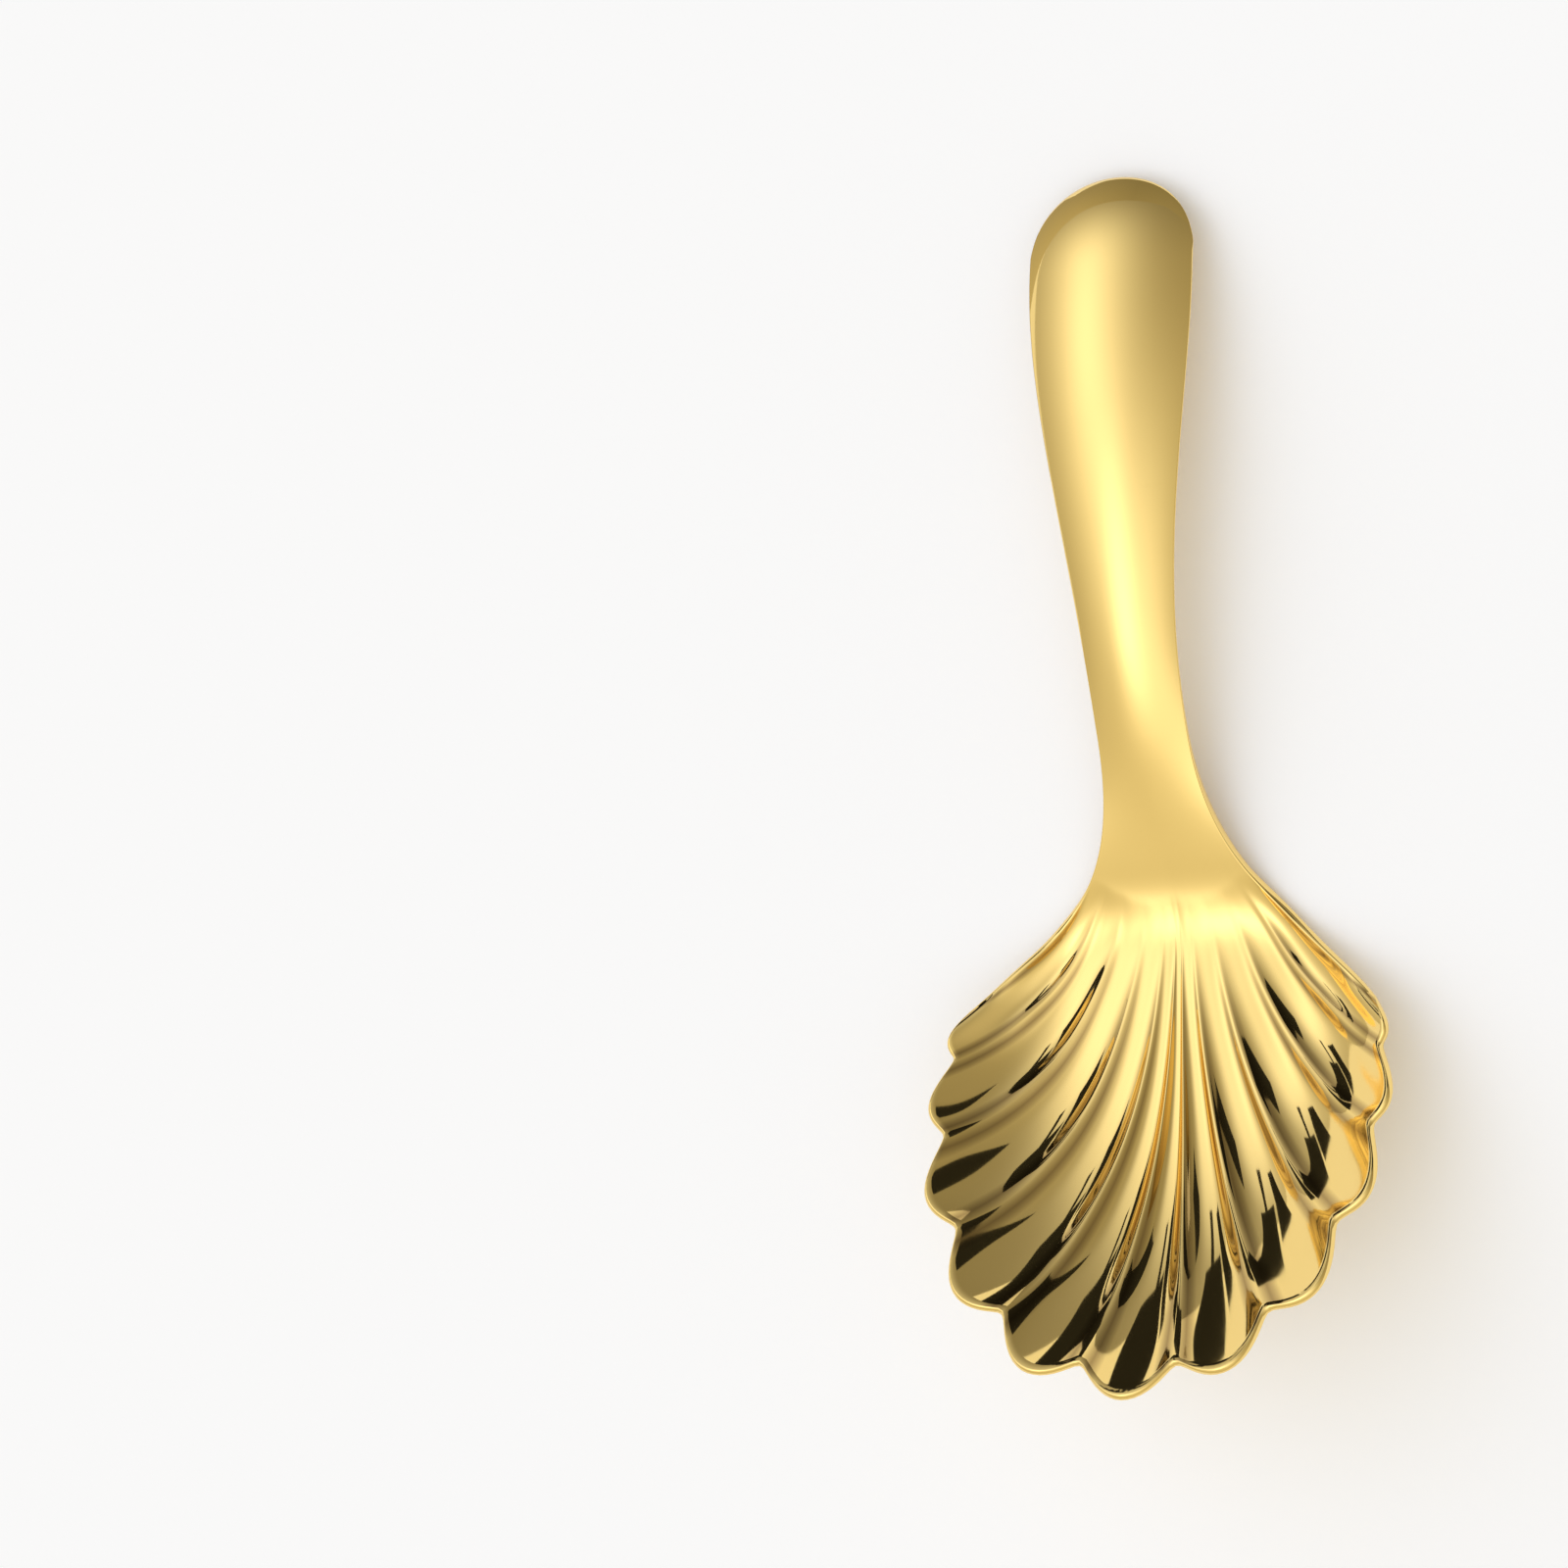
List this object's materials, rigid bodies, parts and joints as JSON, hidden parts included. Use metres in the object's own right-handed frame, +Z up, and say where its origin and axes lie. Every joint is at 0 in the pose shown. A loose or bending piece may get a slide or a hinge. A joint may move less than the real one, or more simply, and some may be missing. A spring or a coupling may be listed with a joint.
{
  "type": "teaspoon",
  "caption": "Short-handled shell teaspoon: a fluted scallop bowl with a lobed rim and a plump hollow handle, in mirror-polished gold tone.",
  "frame": {"origin": "on the table, under the centre of the spoon's bounding box", "axes": "X across the spoon, +Y towards the handle end and -Y towards the tip of the bowl, Z up, as the spoon lies on its heel and its handle end with the bowl facing up"},
  "size_m": [0.043, 0.1032, 0.023],
  "materials": {
    "polished_gold": "mirror-polished steel with a gold-tone coating",
    "braze": "polished braze"
  },
  "bodies": {
    "root": {"front_pressing": "polished_gold", "handle_back": "polished_gold", "seam_braze": "braze"}
  },
  "joints": []
}
